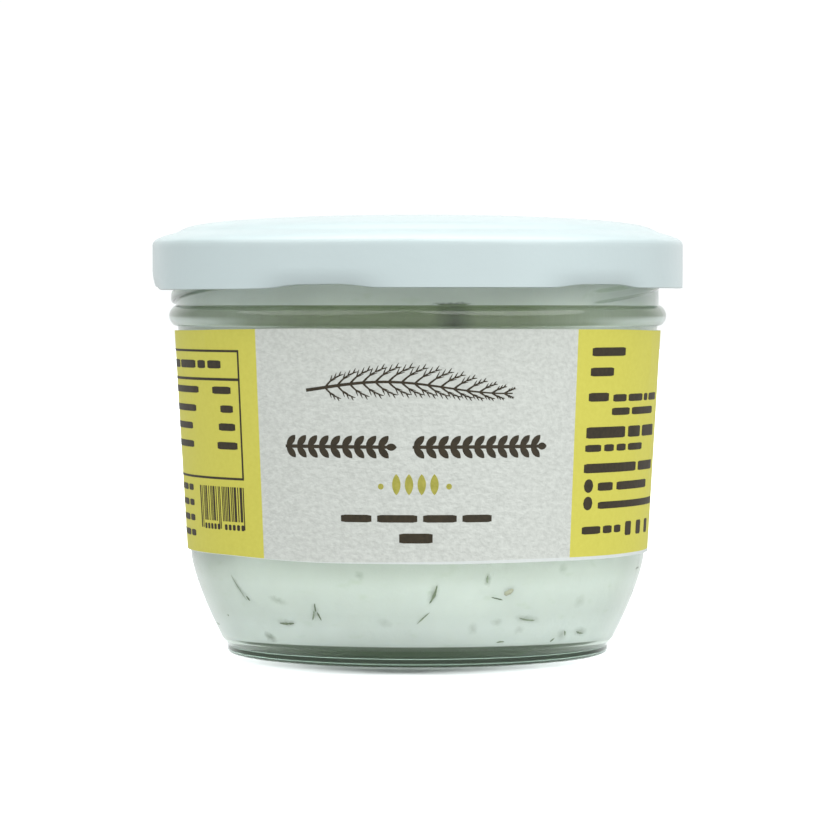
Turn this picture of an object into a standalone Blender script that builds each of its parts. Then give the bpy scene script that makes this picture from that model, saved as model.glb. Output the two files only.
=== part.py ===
"""A shut jar of herbed soft cheese.

A squat, tapered glass jar holds a soft white cheese with bits of herb, under a white twist-off
metal lid and inside a paper label that wraps nearly all the way round. Metres, +Z up. The origin
is the middle of the jar's foot, on the surface that it stands on. The label's middle faces -Y, and
angles are counted from there, positive towards +X.
"""
import math
import random

import bmesh
import bpy

MM = 0.001
AROUND = 64
ON_AXIS = 0.01

# Driving dimensions, in millimetres
CLOSURE_RADIUS = 42.5
TOTAL_HEIGHT = 70.1
SKIRT_BOTTOM = 58.1
NECK_RADIUS = 38.7
TAPER = 0.0583
LABEL_TOP = 52.0
LABEL_BOTTOM = 16.3
LABEL_TOP_RADIUS = 39.03
PAPER = 0.25
GAP = 0.3
WALL = 2.6

# Jar, outside
HEEL_TOP = 16.0
HEEL_BOTTOM = 2.4
HEEL_DROP = 5.05
HEEL_POWER = 1.38
HEEL_STEPS = 8
BEAD_BOTTOM = 52.3
BEAD_TOP = 55.7
BEAD_PROUD = 1.2
BEAD_FULLNESS = 0.6
BEAD_STEPS = 6
FOOT = [(29.9, 0.0), (30.35, 0.2), (30.5, 0.6), (30.45, 1.0), (30.4, 1.4), (30.8, 1.9)]
BEARING_INNER_RADIUS = 26.4
PUSH_UP_HEIGHT = 0.8
PUSH_UP_STEPS = 4
RIM_TOP = 66.2
RIM_ROUND = 1.25
RIM_STEPS = 5

# Jar, inside
BORE_RADIUS = 36.0
FLOOR_HEIGHT = 3.3
FLOOR_RADIUS = 24.5
FLOOR_CORNER = (0.9, 0.65)
INNER_HEEL_BOTTOM = 4.0
INNER_HEEL_DROP = 5.0
INNER_HEEL_STEPS = 5

# Thread: where each ridge's low end is round the jar, and how high its middle starts
THREAD_STARTS = [(-98, 56.2), (-28, 60.0), (41, 56.7), (115, 56.7), (188, 59.4)]
THREAD_TURN = 62
THREAD_CLIMB = 0.067
THREAD_PROUD = 0.9
THREAD_HALF_WIDTH = 1.25
THREAD_RUN_IN = 7
NECK_STEPS = 11
NECK_TOP = 64.4

# Lid
SHEET = 0.5
SHOULDER = [(42.5, 65.3), (42.35, 65.85), (41.6, 66.35), (40.4, 66.8), (38.6, 67.25)]
CROWN = [(37.8, 67.75), (36.7, 68.2), (34.6, 68.65), (29.7, 69.2), (19.3, 69.75), (9.0, 70.0)]
SKIRT_RINGS = [63.6, 61.8, 60.6, 59.6, 58.8]
SKIRT_INSIDE_TOP = 64.9
EDGE_ROUND = 0.3
CURL_RADIUS = 41.0
CURL_HEIGHT = 1.7
LUGS_AT = [-86, -21, 42, 103, 160, 217]
LUG_HALF_ANGLE = 13
DENT_HALF_ANGLE = 18
LUG_INNER_RADIUS = 40.0
LUG_LIFT = 0.5
LUG_DENT = 0.7
LUG_DENT_HEIGHT = 3.4

# Label
LABEL_SEAM_WIDTH = 4.0
LABEL_ROWS = 2

# Cheese: its lower corner is given in from the wall and up from the floor, its top by radius and rise
CHEESE_CLEARANCE = 0.6
CHEESE_SETTLE = 0.4
CHEESE_CORNER = [(2.4, 0.0), (0.8, 0.3)]
CHEESE_TOP = 62.0
CHEESE_BRIM = 1.2
CHEESE_SURFACE = [(34.4, 0.0), (20.0, -0.4), (0.0, 0.0)]
HERB_PROUD = 0.28
HERB_TIP_SUNK = 0.18
HERB_SIDES = 6

# Bits of herb that show in front: angle round the jar, height, length, width, lean above level
HERBS_IN_FRONT = [
    (-56, 12.5, 5.5, 0.5, -56),
    (-40, 10.4, 3.6, 0.8, -14),
    (-29, 9.2, 2.4, 0.6, 86),
    (-41, 7.0, 3.3, 0.6, 2),
    (-15, 14.6, 1.2, 0.8, -17),
    (4, 12.0, 2.8, 0.8, 69),
    (2, 8.3, 2.4, 0.5, 44),
    (18, 14.0, 1.4, 0.6, -89),
    (22, 10.9, 2.1, 0.6, -12),
    (25, 12.4, 1.9, 1.0, 28),
    (33, 8.0, 3.9, 0.8, -9),
    (57, 6.2, 2.6, 0.6, -10),
    (7, 56.2, 4.6, 0.9, 0),
]
HERBS_BEHIND = 16
HERBS_BEHIND_FROM = 80
HERBS_BEHIND_TO = 280
HERB_SEED = 11

GLASS_COLOUR = (0.80, 0.88, 0.82, 1.0)
LID_COLOUR = (0.80, 0.86, 0.86, 1.0)
PAPER_COLOUR = (0.64, 0.66, 0.62, 1.0)
CHEESE_COLOUR = (0.74, 0.78, 0.71, 1.0)


def clear_scene():
    """Remove whatever the file opened with."""
    for thing in list(bpy.data.objects):
        bpy.data.objects.remove(thing, do_unlink=True)


def make_material(name, colour, roughness, metallic=0.0, transmission=0.0):
    """A Principled material with this colour and finish."""
    material = bpy.data.materials.new(name)
    material.use_nodes = True
    shader = material.node_tree.nodes["Principled BSDF"]
    shader.inputs["Base Color"].default_value = colour
    shader.inputs["Roughness"].default_value = roughness
    shader.inputs["Metallic"].default_value = metallic
    shader.inputs["Transmission Weight"].default_value = transmission
    material.diffuse_color = colour
    return material


def around(radius, height, angle):
    """The point at this angle from the front, in metres."""
    return (radius * math.sin(angle) * MM, -radius * math.cos(angle) * MM, height * MM)


def finish_object(name, bm, material):
    """Turn a bmesh into a smooth-shaded object with its faces pointing out."""
    bmesh.ops.recalc_face_normals(bm, faces=bm.faces)
    mesh = bpy.data.meshes.new(name)
    bm.to_mesh(mesh)
    bm.free()
    mesh.shade_smooth()
    mesh.set_sharp_from_angle(angle=math.radians(40))
    mesh.materials.append(material)
    body = bpy.data.objects.new(name, mesh)
    bpy.context.collection.objects.link(body)
    return body


def bridge(bm, lower, upper):
    """Faces between two rings, either of which may be a single point."""
    for step in range(AROUND):
        after = (step + 1) % AROUND
        corners = [
            lower[step % len(lower)],
            lower[after % len(lower)],
            upper[after % len(upper)],
            upper[step % len(upper)],
        ]
        bm.faces.new(list(dict.fromkeys(corners)))


def turned_solid(name, outline, material, reshape=None):
    """A body turned from an outline of (radius, height) that starts and ends on the axis."""
    bm = bmesh.new()
    rings = []
    for radius, height in outline:
        if radius < ON_AXIS:
            rings.append([bm.verts.new((0, 0, height * MM))])
            continue
        ring = []
        for step in range(AROUND):
            angle = step * math.tau / AROUND
            place = reshape(radius, height, angle) if reshape else (radius, height)
            ring.append(bm.verts.new(around(*place, angle)))
        rings.append(ring)
    for lower, upper in zip(rings, rings[1:]):
        bridge(bm, lower, upper)
    return finish_object(name, bm, material)


def ease(value):
    """0 to 1 with a level start and end."""
    value = min(max(value, 0.0), 1.0)
    return value * value * (3 - 2 * value)


def steps(start, end, count):
    """Evenly spaced numbers from start to end, both included."""
    return [start + (end - start) * index / (count - 1) for index in range(count)]


def degrees_past(angle, start):
    """How far an angle lies past a start in degrees, from 0 to 360."""
    return (math.degrees(angle) - start) % 360


def label_radius(height):
    """Outer radius of the label, which tapers towards the foot."""
    return LABEL_TOP_RADIUS - TAPER * (LABEL_TOP - height)


def glass_radius(height):
    """Outer radius of the glass from the heel up to the bead."""
    height = min(height, LABEL_TOP)
    radius = label_radius(max(height, HEEL_TOP)) - PAPER - GAP
    if height < HEEL_TOP:
        depth = (HEEL_TOP - height) / (HEEL_TOP - HEEL_BOTTOM)
        radius -= HEEL_DROP * depth**HEEL_POWER
    return radius


def bore_radius(height):
    """Inner radius of the glass above the floor."""
    if height >= BEAD_BOTTOM:
        return BORE_RADIUS
    wall_top = glass_radius(BEAD_BOTTOM) - BORE_RADIUS
    share = (BEAD_BOTTOM - max(height, HEEL_TOP)) / (BEAD_BOTTOM - HEEL_TOP)
    radius = glass_radius(max(height, HEEL_TOP)) - wall_top - (WALL - wall_top) * share
    if height < HEEL_TOP:
        depth = (HEEL_TOP - height) / (HEEL_TOP - INNER_HEEL_BOTTOM)
        radius -= INNER_HEEL_DROP * depth**2
    return radius


def thread_bump(height, angle):
    """How far the thread ridges stand out of the neck here."""
    bump = 0.0
    for start, low in THREAD_STARTS:
        past = degrees_past(angle, start)
        if past > THREAD_TURN:
            continue
        middle = low + THREAD_CLIMB * past
        across = abs(height - middle) / THREAD_HALF_WIDTH
        if across < 1:
            run_in = ease(past / THREAD_RUN_IN) * ease((THREAD_TURN - past) / THREAD_RUN_IN)
            bump = max(bump, run_in * math.cos(across * math.pi / 2) ** 2)
    return THREAD_PROUD * bump


def jar_shape(radius, height, angle):
    """Raise the thread ridges on the outside of the neck."""
    if radius == NECK_RADIUS and BEAD_TOP < height < RIM_TOP:
        radius += thread_bump(height, angle)
    return radius, height


def floor_outline(height):
    """The rounded corner and flat floor inside the jar, from the wall to the middle."""
    inwards, share = FLOOR_CORNER
    corner_height = INNER_HEEL_BOTTOM - share * (INNER_HEEL_BOTTOM - height)
    return [(bore_radius(INNER_HEEL_BOTTOM) - inwards, corner_height), (FLOOR_RADIUS, height), (0.0, height)]


def make_jar(material):
    """The glass: foot, heel, tapered wall, bead, threaded neck, rim and the hollow inside."""
    underside = [(0.0, PUSH_UP_HEIGHT)]
    for share in steps(0.4, 1.0, PUSH_UP_STEPS)[:-1]:
        height = PUSH_UP_HEIGHT * (1 - share**4)
        underside.append((BEARING_INNER_RADIUS * share, height))
    underside.append((BEARING_INNER_RADIUS, 0.0))
    heel = [(glass_radius(z), z) for z in steps(HEEL_BOTTOM, HEEL_TOP, HEEL_STEPS)]
    wall = [(glass_radius(z), z) for z in steps(HEEL_TOP, BEAD_BOTTOM, 4)[1:]]
    bead = []
    for share in steps(0.0, 1.0, BEAD_STEPS + 1)[1:]:
        height = BEAD_BOTTOM + (BEAD_TOP - BEAD_BOTTOM) * share
        bead.append((NECK_RADIUS + BEAD_PROUD * math.sin(share * math.pi) ** BEAD_FULLNESS, height))
    neck = [(NECK_RADIUS, z) for z in steps(BEAD_TOP + 0.3, NECK_TOP, NECK_STEPS)]
    rim_middle = (NECK_RADIUS + BORE_RADIUS) / 2
    rim_half = (NECK_RADIUS - BORE_RADIUS) / 2
    rim = []
    for turn in steps(0.0, math.pi, RIM_STEPS + 2)[1:-1]:
        rim.append((rim_middle + rim_half * math.cos(turn), RIM_TOP - RIM_ROUND * (1 - math.sin(turn))))
    inner_heel = steps(HEEL_TOP, INNER_HEEL_BOTTOM, INNER_HEEL_STEPS)
    inside = [(BORE_RADIUS, NECK_TOP), (BORE_RADIUS, BEAD_BOTTOM)]
    inside += [(bore_radius(z), z) for z in inner_heel]
    outline = underside + FOOT + heel + wall + bead + neck + rim + inside + floor_outline(FLOOR_HEIGHT)
    return turned_solid("jar", outline, material, jar_shape)


def lug_share(angle, half_angle):
    """1 in the middle of a lug, 0 between lugs."""
    off = min(abs((degrees_past(angle, lug) + 180) % 360 - 180) for lug in LUGS_AT)
    return ease(1.6 * (1 - off / half_angle))


def lid_shape(radius, height, angle):
    """Press the lugs into the lower edge of the skirt."""
    share = lug_share(angle, LUG_HALF_ANGLE)
    low = max(0.0, 1 - (height - SKIRT_BOTTOM) / LUG_DENT_HEIGHT)
    if radius < CURL_RADIUS + 0.1:
        if height < SKIRT_BOTTOM + CURL_HEIGHT + 0.1:
            radius -= (CURL_RADIUS - LUG_INNER_RADIUS) * share
            height += LUG_LIFT * share * low
    elif radius <= CLOSURE_RADIUS:
        radius -= LUG_DENT * lug_share(angle, DENT_HALF_ANGLE) * low**2
        height += LUG_LIFT * share * low
    return radius, height


def make_lid(material):
    """The twist-off lid: crowned top, sloping shoulder, skirt, inward curl and lugs."""
    crown = [(0.0, TOTAL_HEIGHT)] + CROWN[::-1] + SHOULDER[::-1]
    skirt = [(CLOSURE_RADIUS, z) for z in SKIRT_RINGS]
    lower_edge = [(CLOSURE_RADIUS - EDGE_ROUND, SKIRT_BOTTOM), (CURL_RADIUS + EDGE_ROUND, SKIRT_BOTTOM)]
    curl_top = SKIRT_BOTTOM + CURL_HEIGHT
    curl = [(CURL_RADIUS, SKIRT_BOTTOM + EDGE_ROUND), (CURL_RADIUS, curl_top)]
    inner_wall = CLOSURE_RADIUS - SHEET
    inside = [(inner_wall, curl_top + SHEET), (inner_wall, SKIRT_INSIDE_TOP)]
    under = [(r, z - SHEET) for r, z in (SHOULDER[2:] + CROWN)]
    under = [(r - SHEET * 0.5, z) for r, z in under] + [(0.0, TOTAL_HEIGHT - SHEET)]
    outline = crown + skirt + lower_edge + curl + inside + under
    return turned_solid("lid", outline, material, lid_shape)


def make_label(material):
    """The paper label, a thin tapered band with a narrow gap at the back."""
    half_turn = math.pi - LABEL_SEAM_WIDTH / 2 / label_radius(LABEL_BOTTOM)
    heights = steps(LABEL_BOTTOM, LABEL_TOP, LABEL_ROWS)
    section = [(label_radius(z), z) for z in heights]
    section += [(label_radius(z) - PAPER, z) for z in heights[::-1]]
    bm = bmesh.new()
    columns = []
    for angle in steps(-half_turn, half_turn, AROUND):
        columns.append([bm.verts.new(around(radius, height, angle)) for radius, height in section])
    for left, right in zip(columns, columns[1:]):
        for index in range(len(section)):
            after = (index + 1) % len(section)
            bm.faces.new([left[index], right[index], right[after], left[after]])
    bm.faces.new(columns[0][::-1])
    bm.faces.new(columns[-1])
    return finish_object("label", bm, material)


def cheese_radius(height):
    """Radius of the bare cheese, just clear of the glass."""
    return bore_radius(height) - CHEESE_CLEARANCE


def herb_section(along, length, width):
    """Half width and half thickness of a bit of herb at a station along it."""
    share = math.sqrt(max(0.0, 1 - (2 * along / length) ** 2))
    return width / 2 * share, HERB_PROUD * share


def make_herb(index, angle_deg, height, length, width, lean_deg):
    """A slim bit of herb lying on the cheese, its tips sunk below the surface."""
    angle, lean = math.radians(angle_deg), math.radians(lean_deg)
    bm = bmesh.new()
    rings = []
    for along in steps(-length / 2, length / 2, 4):
        centre_height = height + along * math.sin(lean)
        middle = cheese_radius(centre_height)
        turn = angle + along * math.cos(lean) / middle
        half_width, half_thick = herb_section(along, length, width)
        if half_width < ON_AXIS:
            rings.append([bm.verts.new(around(middle - HERB_TIP_SUNK, centre_height, turn))])
            continue
        ring = []
        for side in range(HERB_SIDES):
            spin = side * math.tau / HERB_SIDES
            across = half_width * math.cos(spin)
            ring_height = centre_height + across * math.cos(lean)
            ring_turn = turn - across * math.sin(lean) / middle
            out = half_thick * math.sin(spin)
            ring.append(bm.verts.new(around(middle + out, ring_height, ring_turn)))
        rings.append(ring)
    for first, second in zip(rings, rings[1:]):
        for side in range(HERB_SIDES):
            after = (side + 1) % HERB_SIDES
            corners = [
                first[side % len(first)],
                first[after % len(first)],
                second[after % len(second)],
                second[side % len(second)],
            ]
            bm.faces.new(list(dict.fromkeys(corners)))
    return finish_object(f"herb_{index}", bm, bpy.data.materials["cheese"])


def herbs_behind():
    """Bits of herb round the sides and back, spread evenly with a seeded draw."""
    draw = random.Random(HERB_SEED)
    spacing = (HERBS_BEHIND_TO - HERBS_BEHIND_FROM) / HERBS_BEHIND
    found = []
    for index in range(HERBS_BEHIND):
        angle = HERBS_BEHIND_FROM + spacing * (index + draw.uniform(0.2, 0.8))
        height = draw.uniform(6.5, 14.0)
        found.append((angle, height, draw.uniform(1.4, 3.6), draw.uniform(0.5, 0.9), draw.uniform(-70, 80)))
    return found


def make_cheese(material):
    """The cheese up to its level, with the bits of herb that show fused on as low relief."""
    lift = FLOOR_HEIGHT + CHEESE_SETTLE
    corner = cheese_radius(INNER_HEEL_BOTTOM)
    base = [(0.0, lift)] + [(corner - inwards, lift + up) for inwards, up in CHEESE_CORNER]
    heel = [(cheese_radius(z), z) for z in steps(INNER_HEEL_BOTTOM + CHEESE_SETTLE, HEEL_TOP, 5)]
    side = [(cheese_radius(z), z) for z in (BEAD_BOTTOM, CHEESE_TOP - CHEESE_BRIM)]
    top = [(radius, CHEESE_TOP + rise) for radius, rise in CHEESE_SURFACE]
    cheese = turned_solid("cheese", base + heel + side + top, material)
    herbs = bpy.data.collections.new("herbs")
    bpy.context.scene.collection.children.link(herbs)
    for index, herb in enumerate(HERBS_IN_FRONT + herbs_behind()):
        piece = make_herb(index, *herb)
        bpy.context.collection.objects.unlink(piece)
        herbs.objects.link(piece)
    union = cheese.modifiers.new("herbs", "BOOLEAN")
    union.operation = "UNION"
    union.operand_type = "COLLECTION"
    union.collection = herbs
    union.solver = "EXACT"
    seen = cheese.evaluated_get(bpy.context.evaluated_depsgraph_get())
    joined = bpy.data.meshes.new_from_object(seen)
    cheese.modifiers.clear()
    cheese.data = joined
    joined.name = "cheese"
    for piece in list(herbs.objects):
        bpy.data.objects.remove(piece, do_unlink=True)
    bpy.data.collections.remove(herbs)
    return cheese


def main():
    clear_scene()
    make_jar(make_material("glass", GLASS_COLOUR, 0.03, transmission=1.0))
    make_cheese(make_material("cheese", CHEESE_COLOUR, 0.55))
    make_lid(make_material("lid", LID_COLOUR, 0.3))
    make_label(make_material("paper", PAPER_COLOUR, 0.7))


main()
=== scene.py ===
"""Looks of a shut jar of herbed soft cheese: glass, cheese, lid, paper label and its print.

Lengths are in millimetres until a point is placed, which turns them into metres. Angles run round
the jar from the label's middle, which faces -Y, and are positive towards +X.
"""
import math
import random

import bpy
from mathutils import Matrix, Vector, noise


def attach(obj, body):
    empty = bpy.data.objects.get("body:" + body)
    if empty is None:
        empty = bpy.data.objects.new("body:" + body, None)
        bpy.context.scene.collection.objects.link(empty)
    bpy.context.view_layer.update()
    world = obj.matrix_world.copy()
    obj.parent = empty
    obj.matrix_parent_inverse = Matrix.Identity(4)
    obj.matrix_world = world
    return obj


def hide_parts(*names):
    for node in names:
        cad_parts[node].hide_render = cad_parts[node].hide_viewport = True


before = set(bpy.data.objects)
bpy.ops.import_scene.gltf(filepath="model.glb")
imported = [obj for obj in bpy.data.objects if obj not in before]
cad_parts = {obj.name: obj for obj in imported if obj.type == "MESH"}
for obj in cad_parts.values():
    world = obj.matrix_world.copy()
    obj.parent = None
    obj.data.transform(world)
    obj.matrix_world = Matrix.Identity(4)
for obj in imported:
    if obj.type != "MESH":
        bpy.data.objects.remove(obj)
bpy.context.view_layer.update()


MM = 0.001
ON_AXIS = 0.01

# The jar's driving sizes, the same as in the solids
CLOSURE_RADIUS = 42.5
TOTAL_HEIGHT = 70.1
SKIRT_BOTTOM = 58.1
NECK_RADIUS = 38.7
TAPER = 0.0583
LABEL_TOP = 52.0
LABEL_BOTTOM = 16.3
LABEL_TOP_RADIUS = 39.03
PAPER_AND_GLUE = 0.55
WALL = 2.6
HEEL_TOP = 16.0
HEEL_BOTTOM = 2.4
HEEL_DROP = 5.05
HEEL_POWER = 1.38
BEAD_BOTTOM = 52.3
BEAD_TOP = 55.7
BEAD_PROUD = 1.2
BEAD_FULLNESS = 0.6
FOOT = [(29.9, 0.0), (30.35, 0.2), (30.5, 0.6), (30.45, 1.0), (30.4, 1.4), (30.8, 1.9)]
BEARING_INNER_RADIUS = 26.4
PUSH_UP_HEIGHT = 0.8
RIM_TOP = 66.2
RIM_ROUND = 1.25
BORE_RADIUS = 36.0
FLOOR_HEIGHT = 3.3
FLOOR_RADIUS = 24.5
FLOOR_CORNER = (0.9, 0.65)
INNER_HEEL_BOTTOM = 4.0
INNER_HEEL_DROP = 5.0
THREAD_STARTS = [(-98, 56.2), (-28, 60.0), (41, 56.7), (115, 56.7), (188, 59.4)]
THREAD_TURN = 62
THREAD_CLIMB = 0.067
THREAD_PROUD = 0.9
THREAD_HALF_WIDTH = 1.25
THREAD_RUN_IN = 7
NECK_TOP = 64.4
SHEET = 0.5
SHOULDER = [(42.5, 65.3), (42.35, 65.85), (41.6, 66.35), (40.4, 66.8), (38.6, 67.25)]
CROWN = [(37.8, 67.75), (36.7, 68.2), (34.6, 68.65), (29.7, 69.2), (19.3, 69.75), (9.0, 70.0)]
CURL_RADIUS = 41.0
CURL_HEIGHT = 1.7
LUGS_AT = [-86, -21, 42, 103, 160, 217]
LUG_HALF_ANGLE = 13
DENT_HALF_ANGLE = 18
LUG_INNER_RADIUS = 40.0
LUG_LIFT = 0.5
LUG_DENT_HEIGHT = 3.4
CHEESE_TOP = 62.0

# Finer detail that only this script makes, or makes softer than the solids
EDGE_ROUND = 0.12
LUG_DENT = 0.5
SKIRT_TILT = 0.25
LOW_SIDE_ENDS = -45
LOW_SIDE_STARTS = 190
GLASS_AROUND = 288
LID_AROUND = 288
CHEESE_AROUND = 192
SEAM_ANGLES = (-104, 76)
SEAM_PROUD = 0.07
KNURLS = 72
KNURL_HEIGHT = 0.12
GLASS_WAVE = 0.05
FROSTED_FOOT = (0.25, 0.95)
FROSTED_ROUGHNESS = 0.06
CHEESE_REACH = 0.06
# Painted shade on the cheese's underside, with a painted highlight in its middle, lies below this height
UNDERSIDE_TOP = 3.62
# Painted shade in the cheese's colour: how much darker it is at each height, in front and at the sides, by the label's
# lower edge, behind the bead and under the lid
PAINTED_SHADE_BY_HEIGHT = [
    (6.3, 0.0, 0.0),
    (8.3, 0.12, 0.11),
    (10.8, 0.17, 0.15),
    (12.8, 0.20, 0.17),
    (14.1, 0.27, 0.23),
    (15.4, 0.31, 0.25),
    (51.5, 0.31, 0.18),
    (52.6, 0.7, 0.3),
    (53.2, 0.84, 0.62),
    (54.05, 0.86, 0.62),
    (54.3, 0.84, 0.0),
    (55.2, 0.86, 0.0),
    (55.7, 0.2, 0.1),
]
LABEL_SEAM_WIDTH = 4.0
LABEL_SAG = 0.5
LABEL_RISE = 0.45
LABEL_COLUMNS = 480
LABEL_ROWS = 60
PANEL_LEFT = -39.8
PANEL_RIGHT = 39.2
PRINT_RADIUS = 38.0
INK_PROUD = 0.03
INK_SUNK = 0.04
LEAF_LEAN = 48

# Wrinkles in the label: angle, height, half width, half height, how proud
WRINKLES = [
    (-58, 50.2, 1.1, 1.6, 0.16),
    (-55, 50.6, 0.8, 1.1, 0.10),
    (71, 47.5, 1.3, 3.6, 0.17),
    (64, 36.5, 1.2, 4.0, 0.11),
    (76, 33.0, 1.5, 5.0, 0.16),
    (57, 28.5, 1.0, 3.0, 0.08),
    (-66, 41.0, 1.6, 6.0, 0.10),
    (100, 45.0, 1.5, 5.0, 0.14),
    (-112, 24.0, 1.6, 4.0, 0.14),
    (150, 48.5, 1.3, 2.5, 0.14),
]

# Bits of herb at the face of the cheese: angle, height, length, width, lean above level, and how
# deep the green is, with tan below 0
HERBS_IN_FRONT = [
    (-54.4, 12.0, 4.6, 0.20, -56, 0.45),
    (-51.4, 10.4, 0.9, 0.42, -50, 0.9),
    (-28.4, 9.5, 1.3, 0.32, 85, 0.9),
    (-29.6, 8.3, 1.6, 0.28, 66, 0.6),
    (-27.8, 8.2, 1.4, 0.26, 108, 0.8),
    (-39.4, 6.9, 2.9, 0.34, 2, 0.9),
    (-66, 7.4, 0.5, 0.4, 10, 0.7),
    (4, 11.8, 3.0, 0.44, 69, 1.0),
    (1.5, 8.1, 2.6, 0.24, 44, 0.7),
    (18, 14.0, 1.1, 0.32, -89, 0.5),
    (21.1, 11.0, 2.0, 0.24, -14, 1.0),
    (24.2, 12.0, 1.6, 1.0, 28, -1),
    (31.4, 7.7, 3.0, 0.30, -9, 0.5),
    (54.5, 5.2, 2.2, 0.30, -10, 0.5),
    (47.5, 5.2, 1.0, 0.32, -50, 0.6),
    (43.5, 4.3, 0.8, 0.34, 40, 0.9),
    (25, 4.25, 1.3, 0.26, 5, 0.6),
    (8.3, 55.9, 5.2, 0.28, 0, 1.0),
]

# Bits sunk deeper, which show as soft shadows: angle, height, half length, half width, lean, depth
SOFT_HERBS = [
    (-54.4, 12.0, 2.6, 0.7, -56, 0.4),
    (-40, 10.4, 2.2, 0.7, -14, 0.4),
    (-48.5, 4.6, 1.4, 0.9, -8, 0.75),
    (-28.7, 8.7, 0.9, 1.4, 0, 0.4),
    (-39.4, 7.0, 2.2, 0.6, 2, 0.4),
    (-15, 14.6, 0.9, 0.7, -17, 0.35),
    (-9, 7.4, 1.4, 0.9, -8, 0.2),
    (4, 11.8, 2.0, 0.8, 69, 0.45),
    (18, 14.0, 1.1, 0.7, -89, 0.55),
    (31.4, 7.7, 2.8, 0.7, -9, 0.4),
    (22.2, 7.4, 1.2, 0.7, 0, 0.3),
    (15.6, 6.4, 1.2, 0.9, -80, 0.3),
    (30, 6.1, 1.1, 0.7, 0, 0.25),
    (54.5, 5.3, 2.2, 0.8, -10, 0.4),
    (46.5, 5.0, 1.5, 0.9, -35, 0.4),
    (48.5, 10.0, 1.2, 1.4, 80, 0.25),
    (40, 15.2, 1.1, 0.8, 0, 0.3),
]
NECK_HERBS = [(8.6, 53.4, 3.6, 1.8, 0, 0.9), (8.2, 55.9, 3.6, 0.35, 0, 0.8)]
PATCH_WOBBLE = 0.0009
HERBS_BEHIND = 34
HERBS_BEHIND_FROM = 76
HERBS_BEHIND_TO = 284
HERB_SEED = 11

# Camera, from the photograph
CAMERA_PLACE = (-0.00058, -0.6495, 0.0565)
CAMERA_PITCH = 1.617
CAMERA_LENS = 175.65

# Light: wide soft windows, given as degrees past the front, degrees up, strength and width,
# in a pale room that is brightest low behind the object
WINDOWS = [
    ("window_right", 50, 44, 2.62, 70),
    ("window_left", -60, 44, 1.72, 70),
    ("window_above", 0, 85, 0.9, 70),
]
TABLE_LAMPS = [("table_left", -117, 50, 8.4, 28), ("table_right", 108, 50, 8.4, 28)]
TABLE_GLOW = ("table_glow", 0, -60, 0.9, 120)
SHADED_FLOOR_RADIUS = 33
ROOM_BELOW = 0.55
ROOM_ABOVE = 0.33
ROOM_BEHIND = 0.9
BACKDROP = 1.05


def srgb(red, green, blue):
    """A colour of 0 to 255 as the linear values that a shader takes."""
    linear = []
    for level in (red, green, blue):
        share = level / 255
        linear.append(share / 12.92 if share <= 0.04045 else ((share + 0.055) / 1.055) ** 2.4)
    return (*linear, 1.0)


# Materials

def new_material(name):
    """An empty node material with its output, Principled shader and node tree."""
    material = bpy.data.materials.new(name)
    material.use_nodes = True
    tree = material.node_tree
    shader = tree.nodes["Principled BSDF"]
    return material, tree, shader


def add_node(tree, kind, **values):
    """A node of this kind with its sockets or settings given by name."""
    node = tree.nodes.new(kind)
    for key, value in values.items():
        socket = node.inputs.get(key.replace("_", " "))
        if socket is not None:
            socket.default_value = value
        else:
            setattr(node, key, value)
    return node


def object_noise(tree, scale, detail=3.0, roughness=0.55, stretch=(1, 1, 1)):
    """Noise fixed to the piece, in metres, with this many cells to a metre."""
    place = add_node(tree, "ShaderNodeTexCoord")
    spread = add_node(tree, "ShaderNodeMapping")
    spread.inputs["Scale"].default_value = stretch
    grain = add_node(tree, "ShaderNodeTexNoise", Scale=scale, Detail=detail, Roughness=roughness)
    tree.links.new(place.outputs["Object"], spread.inputs["Vector"])
    tree.links.new(spread.outputs["Vector"], grain.inputs["Vector"])
    return grain


def ramp(tree, source, stops):
    """A colour ramp over a value, with stops of (place, colour)."""
    node = add_node(tree, "ShaderNodeValToRGB")
    elements = node.color_ramp.elements
    while len(elements) < len(stops):
        elements.new(0.5)
    for element, (place, colour) in zip(elements, stops):
        element.position = place
        element.color = colour
    tree.links.new(source, node.inputs["Fac"])
    return node


def add_bump(tree, shader, source, distance, strength=1.0):
    """Low relief from a value, in metres."""
    bump = add_node(tree, "ShaderNodeBump", Strength=strength, Distance=distance)
    tree.links.new(source, bump.inputs["Height"])
    tree.links.new(bump.outputs["Normal"], shader.inputs["Normal"])
    return bump


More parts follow.
